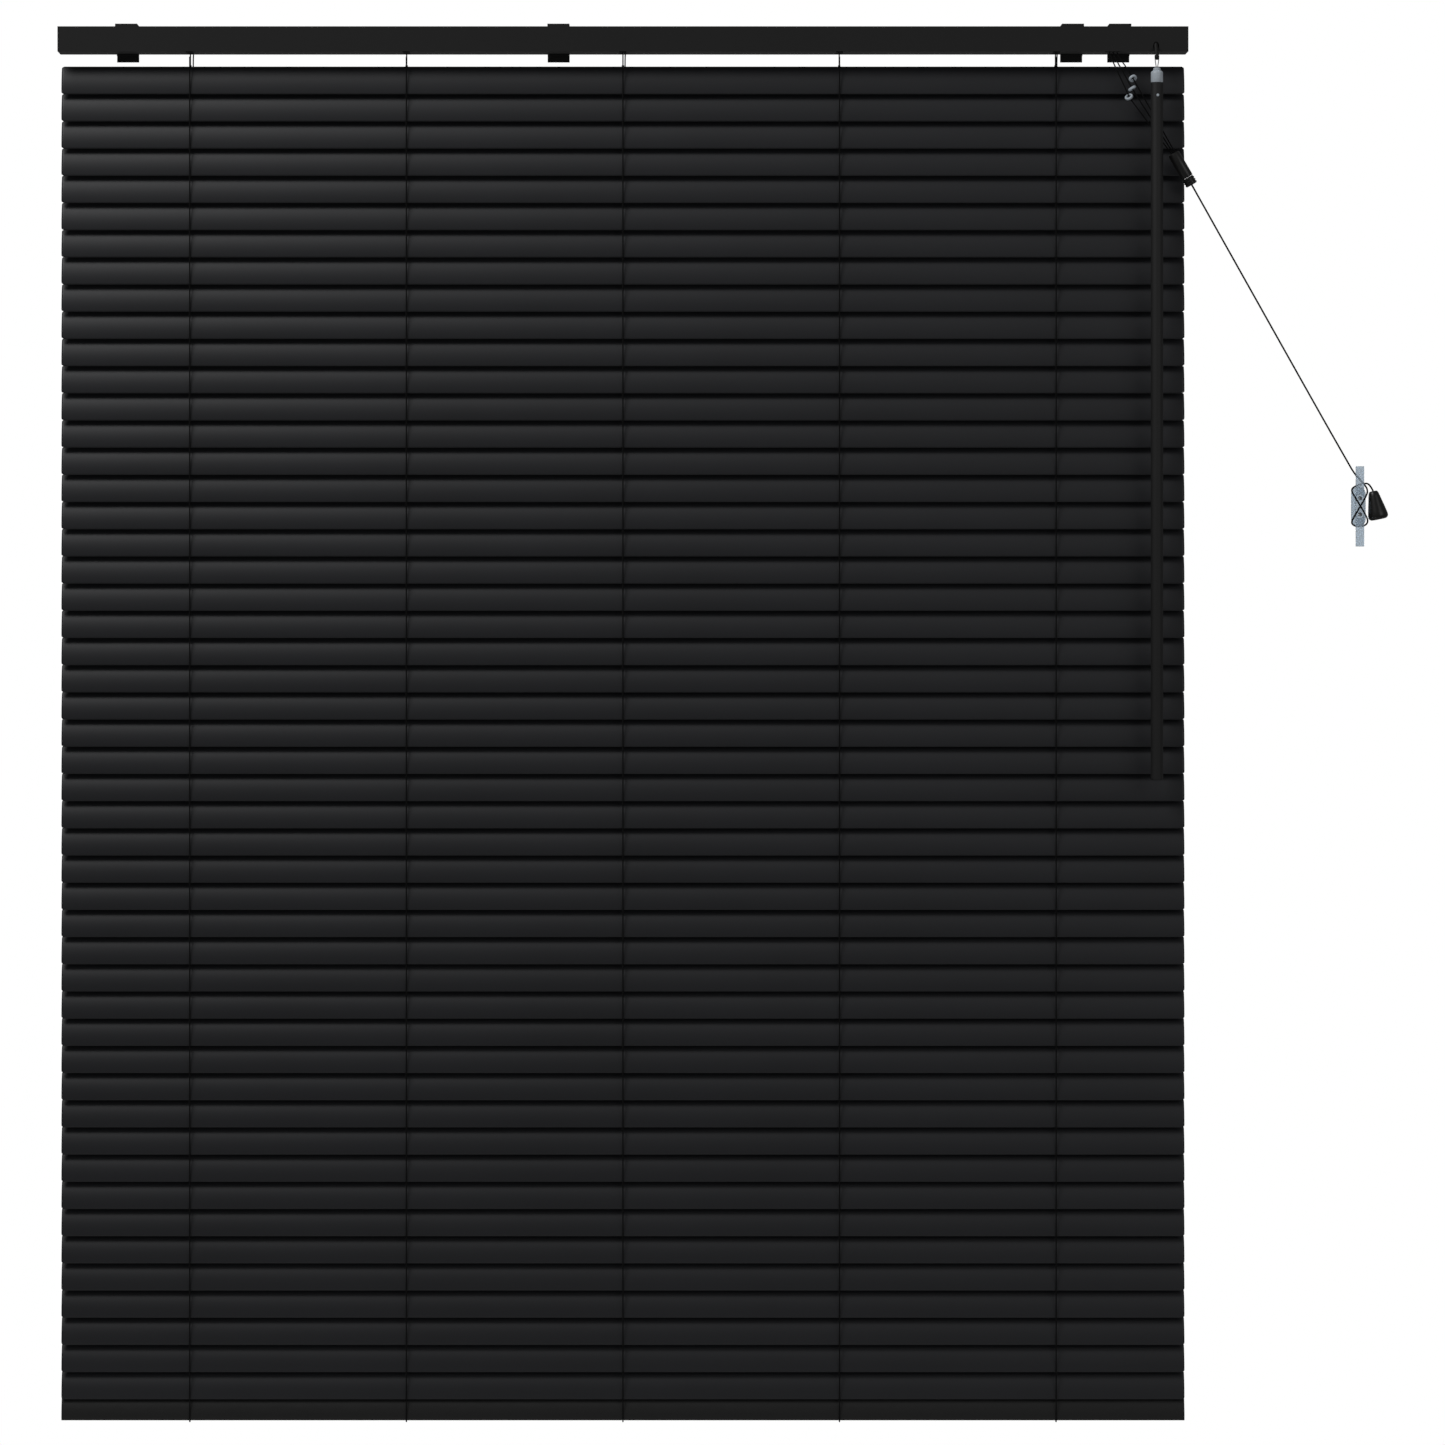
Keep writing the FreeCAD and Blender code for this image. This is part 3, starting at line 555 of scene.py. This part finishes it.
def make_ladders():
    tree = knot_tree()
    middle = (AXIS["slat_01"] + AXIS["slat_49"]) / 2
    for side, body in ((-1, "front_ladders"), (1, "rear_ladders")):
        node = frame["nodes"]["ladder_cords_front" if side < 0 else "ladder_cords_rear"]
        node.data.materials.clear()
        node.data.materials.append(LADDER_BRAID)
        centre = middle + Vector((0, side * (EDGE_OUT + LADDER_GAP), side * EDGE_DOWN))
        knots = grown(f"{body}_knots", tree, {**KNOT_SIZES, "Centre": centre})
        smooth(knots.data, 60)
        give(knots, LADDER_BRAID, body, "black_cord")


def make_bottom_rail():
    eased_copy(
        "bottom_rail", "bottom_rail_tube", RAIL_ENAMEL, "bottom_bar", "black_enamel_steel",
        width=0.3 * MM,
    )
    turn = Matrix.Rotation(TILT, 3, "X")
    wrap = [(-10.5, 3.2), (-12.9, 1.6), (-13.4, -0.6), (-11.4, -2.9), (-7.5, -4.0), (-3.6, -4.3)]
    for ladder in range(LADDER_COUNT):
        x = (ladder - (LADDER_COUNT - 1) / 2) * LADDER_SPACING
        points = [BASE_AXIS + Vector((x, 0, 0)) + turn @ Vector((0, y * MM, z * MM)) for y, z in wrap]
        thread(
            f"ladder_end_{ladder + 1}", points, LADDER_RADIUS, LADDER_BRAID, "bottom_bar", "black_cord"
        )


# Of the solids on the rod, the bar itself is the one centred this closely on its middle and its line.
ROD_MIDDLE_SPAN, ROD_OFF_LINE = 1.5 * MM, 1 * MM


def make_headrail():
    eased_copy(
        "headrail", "headrail_channel", RAIL_ENAMEL, "fixed_frame", "black_enamel_steel",
        width=0.22 * MM,
    )
    eased_copy("headrail_fittings", "fittings_moulded", MOULDED_ABS, "fixed_frame", "black_moulding")
    eased_copy(
        "tilter_worm", "tilter_worm_moulded", MOULDED_ABS, "tilter_stem", "black_moulding",
        width=0.15 * MM,
    )
    rod_line = Vector(JOINTS["tilt"]["pos_m"])
    rod_low, rod_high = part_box("tilt_rod")
    middle_x = (rod_low[0] + rod_high[0]) / 2
    eased_copy(
        "tilt_rod", "tilt_rod_bar", ZINC_STEEL, "tilt_drive", "bare_steel",
        keep=lambda centre: (
            abs(centre.x - middle_x) < ROD_MIDDLE_SPAN and (centre - rod_line).yz.length < ROD_OFF_LINE
        ),
    )
    eased_copy(
        "tilt_rod", "tilt_drums_and_wheel", ACETAL, "tilt_drive", "black_moulding",
        keep=lambda centre: not abs(centre.x - middle_x) < ROD_MIDDLE_SPAN,
    )


# ---- tilt wand ------------------------------------------------------------------------------------

WAND_LINE = (0, 0, -1)
SLEEVE_RISE, PIN_DROP, EYE_RISE = 13.9 * MM, 12 * MM, 24.6 * MM  # from the top of the rod
PIN_START = (0.4 * MM, -6.45 * MM)  # sideways and forwards of the rod's line


def make_wand():
    """A rod with a pin through it, hung by a wire loop in a frosted sleeve."""
    x, y, top = WAND_AXIS
    rod = [
        (0, 0), (5.0, 0), (5.6, 0.4), (5.75, 1.2), (5.75, 320), (5.75, 645.2), (5.6, 646.1),
        (5.1, 646.6), (0, 646.6),
    ]
    lathe(
        "wand_rod", rod, (x, y, top), WAND_LINE, EXTRUDED_PVC, "wand", "cord_fitting_plastic",
        ["tilt_wand"],
    )
    sleeve = [
        (1.0, 0.6), (2.2, 0.0), (3.2, 0.5), (3.5, 1.6), (3.3, 2.6), (4.7, 3.3), (5.5, 4.3), (5.65, 5.4),
        (5.65, 13.2), (5.3, 13.8), (1.0, 13.8),
    ]
    lathe(
        "wand_sleeve", sleeve, (x, y, top + SLEEVE_RISE), WAND_LINE, FROSTED_CLEAR, "wand",
        "cord_fitting_plastic",
    )
    pin = [(0, 0), (0.9, 0), (1.25, 0.25), (1.3, 0.6), (1.3, 12.3), (1.25, 12.6), (0.9, 12.9), (0, 12.9)]
    pin_start = (x + PIN_START[0], y + PIN_START[1], top - PIN_DROP)
    lathe(
        "wand_pin", pin, pin_start, (0, 1, 0), FROSTED_CLEAR, "wand", "cord_fitting_plastic", sides=20
    )
    eye = top + EYE_RISE
    loop = [
        (-0.5, -15), (-0.6, -10), (-1.2, -7), (-1.7, -3), (-1.9, 1.0), (0, 2.4), (1.9, 1.0),
        (1.7, -3), (1.2, -7), (0.6, -10), (0.5, -15),
    ]
    points = [(x + across * MM, y, eye + up * MM) for across, up in loop]
    thread("wand_hook", points, 0.42 * MM, ZINC_STEEL, "wand", "bare_steel")


# ---- lift cords, condenser, stops, tassel ---------------------------------------------------------

LIFT_ROUTES = (  # millimetres, from the bottom rail to the condenser
    [(-401, -4.1, -1284), (-401, -4.1, -40), (-401, -4.1, -26), (-400.5, -4.6, -19.6),
     (-394, -8.3, -18.6), (-375, -21.2, -18.5), (-340, -21.2, -18.5), (425, -21.2, -18.5), (440, -21.2, -18.5),
     (451.5, -27.2, -17.4), (451.5, -30.5, -20.5), (452, -34.2, -26.5), (465.6, -36.1, -55.5),
     (469.7, -36.2, -65.6), (476.4, -36.6, -74.6), (509.3, -38.8, -119.1)],
    [(2, -4.1, -1284), (2, -4.1, -40), (2, -4.1, -26), (2.5, -4.6, -19.6), (9, -8.3, -18.6),
     (28, -19, -18.5), (60, -19, -18.5), (425, -19, -18.5), (440, -19, -18.5),
     (455, -27.2, -17.4), (455, -30.5, -20.5), (456, -34.2, -27.5), (467.6, -36.1, -48.4),
     (472.7, -36.2, -57.7), (478.6, -36.5, -67.3), (510.8, -38.8, -118.2)],
    [(405, -4.1, -1284), (405, -4.1, -40), (405, -4.1, -26), (405.5, -4.6, -19.6), (411, -8.3, -18.6),
     (428, -16.4, -18.5), (440, -17.6, -18.5), (450, -22, -18.2),
     (458.5, -27.2, -17.4), (458.5, -30.5, -20.5), (459.5, -34.2, -27), (467.2, -35.9, -37.8),
     (473.4, -36.2, -48.4), (479.6, -36.5, -59.3), (512.3, -38.8, -117.3)],
)
CONDENSER_TOP = Vector((510.8, -38.8, -118.2)) * MM
CONDENSER_LINE = Vector((0.504, 0, -0.864))
CONDENSER_LENGTH = 34 * MM
TASSEL_TOP = Vector((699.2, -12, -431)) * MM
TASSEL_LINE = Vector((0.2, 0, -0.98))
STOPS = (  # the middle of each ring in millimetres, and its lean from the cord in degrees
    (Vector((469.7, -36.2, -65.6)), -38),
    (Vector((472.7, -36.2, -57.7)), 4),
    (Vector((473.4, -36.2, -48.4)), 38),
)
STOP_HALF = 1.2 * MM
CLEAT = Vector((686.7, 0, -445.3))  # millimetres, the middle of the cleat on the wall
PULL_ROUTE = (  # millimetres from the cleat's middle on the wall, after the long straight run
    (-40, -15.6, 91), (-12, -10.2, 43.2), (-4.5, -8.4, 30.4), (3.5, -8.0, 22), (7.6, -10, 16.5),
    (6.4, -17.3, 10.5), (-6.4, -17.3, -10.5), (-7.8, -10.5, -15.5), (-4, -8.2, -18.5),
    (4, -8.2, -18.5), (7.8, -10.5, -15.5), (6.4, -19.1, -10.5), (-6.4, -19.1, 10.5),
    (-7.8, -10.2, 15.5), (-4, -6.2, 19), (4, -6.2, 21.5), (9.6, -8.5, 21.5),
)


def make_condenser():
    start, line = CONDENSER_TOP, CONDENSER_LINE
    barrel = [
        (2.6, 0.5), (3.2, 0), (4.6, 0), (5.3, 0.5), (5.6, 1.4), (5.6, 25.4), (5.4, 25.8), (4.3, 25.8),
        (4.3, 3.0), (2.6, 3.0),
    ]
    body = lathe(
        "condenser_barrel", barrel, start, line, POLISHED_STYRENE, "fixed_frame",
        "cord_fitting_plastic", ["cord_pulls"],
    )
    cap = [(0, 27.4), (0, 26.1), (5.1, 26.1)]
    for rib in range(3):
        foot = 27.2 + 2.4 * rib
        cap += [
            (5.3, foot), (5.75, foot + 0.3), (5.85, foot + 0.7), (5.75, foot + 1.1), (5.3, foot + 1.4)
        ]
    cap += [(5.0, 33.9), (2.2, 34.0), (1.2, 33.6), (0, 33.6)]
    ends = lathe(
        "condenser_cap", cap, start, line, POLISHED_STYRENE, "fixed_frame", "cord_fitting_plastic"
    )
    return [body, ends]


def make_stops():
    """Three loose rings, each leaning its own way on its cord."""
    ring = [
        (2.1, 0.3), (2.4, 0), (3.3, 0), (3.85, 0.4), (4.0, 1.2), (3.85, 2.0), (3.3, 2.4), (2.4, 2.4),
        (2.1, 2.1),
    ]
    rings = []
    for number, ((centre, lean), route) in enumerate(zip(STOPS, LIFT_ROUTES), start=1):
        run = (Vector(route[-1]) - Vector(route[-5])).normalized()
        turned = Matrix.Rotation(math.radians(lean), 3, run.cross(Vector((0, -1, 0)))) @ run
        start = centre * MM - turned * STOP_HALF
        rings.append(lathe(
            f"cord_stop_{number}", ring, start, turned, FROSTED_CLEAR, "fixed_frame",
            "cord_fitting_plastic",
        ))
    return rings


def make_tassel():
    shape = [
        (0, 0.9), (1.2, 0.4), (2.6, 0), (3.7, 0.4), (4.5, 1.6), (5.3, 4.5), (6.3, 9), (7.5, 14),
        (8.6, 19), (9.3, 22.4), (9.3, 24.2), (8.5, 25.8), (6.9, 26.8), (4.0, 27.0), (0, 27.0),
    ]
    return lathe(
        "tassel_body", shape, TASSEL_TOP, TASSEL_LINE, POLISHED_STYRENE, "fixed_frame",
        "cord_fitting_plastic", angle=50,
    )


def make_cords():
    condenser, stops, tassel = make_condenser(), make_stops(), make_tassel()
    for index, route in enumerate(LIFT_ROUTES):
        points = [Vector(point) * MM for point in route]
        cord = spline(f"lift_cord_{index + 1}", points, LIFT_DIAMETER / 2)
        give(cord, CORD_BRAID, "fixed_frame", "black_cord", ["lift_cords"])
        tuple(points[0])
        run_length(cord)
    start = CONDENSER_TOP + CONDENSER_LINE * CONDENSER_LENGTH
    route = [start] + [(CLEAT + Vector(point)) * MM for point in PULL_ROUTE] + [TASSEL_TOP]
    pull = spline("pull_cord", route, PULL_DIAMETER / 2)
    give(pull, CORD_BRAID, "fixed_frame", "black_cord", ["lift_cords"])
    run_length(pull)


def run_length(cord):
    """The length of the cord's own line."""
    depth, cord.data.bevel_depth = cord.data.bevel_depth, 0
    bpy.context.view_layer.update()
    mesh = bpy.data.meshes.new_from_object(cord.evaluated_get(bpy.context.evaluated_depsgraph_get()))
    cord.data.bevel_depth = depth
    spots = [vertex.co for vertex in mesh.vertices]
    bpy.data.meshes.remove(mesh)
    return sum((after - before).length for before, after in zip(spots, spots[1:]))


# ---- what is screwed to the wall ------------------------------------------------------------------

BRACKET_ROOM = 50 * MM  # beyond the rail's end the brackets stop, and only the cleat is left
SCREW_SPACING = 7.5  # millimetres, from the cleat's middle


def make_wall_fixings():
    right_of_rail = RAIL_END + BRACKET_ROOM
    eased_copy(
        "wall_fixings", "wall_brackets", BRACKET_COAT, "fixed_frame", "black_enamel_steel",
        keep=lambda centre: centre.x < right_of_rail, width=0.4 * MM,
    )
    eased_copy(
        "wall_fixings", "cord_cleat", HAZY_CLEAR, "fixed_frame", "cord_fitting_plastic",
        keep=lambda centre: centre.x > right_of_rail, width=0.7 * MM,
    )
    screw = [(0, 1.0), (0.7, 1.0), (0.9, 0.2), (1.5, 0.0), (1.75, 0.3), (1.8, 1.0), (1.8, 15), (0, 16)]
    for place, side in (("lower", -1), ("upper", 1)):
        start = (CLEAT + Vector((0, -15.8, side * SCREW_SPACING))) * MM
        lathe(
            f"cleat_screw_{place}", screw, start, (0, 1, 0), ZINC_STEEL, "fixed_frame", "bare_steel",
            sides=24,
        )


set_camera()
set_studio()
make_cords()
make_slats()
make_ladders()
make_bottom_rail()
make_headrail()
make_wand()
make_wall_fixings()

bpy.context.view_layer.update()
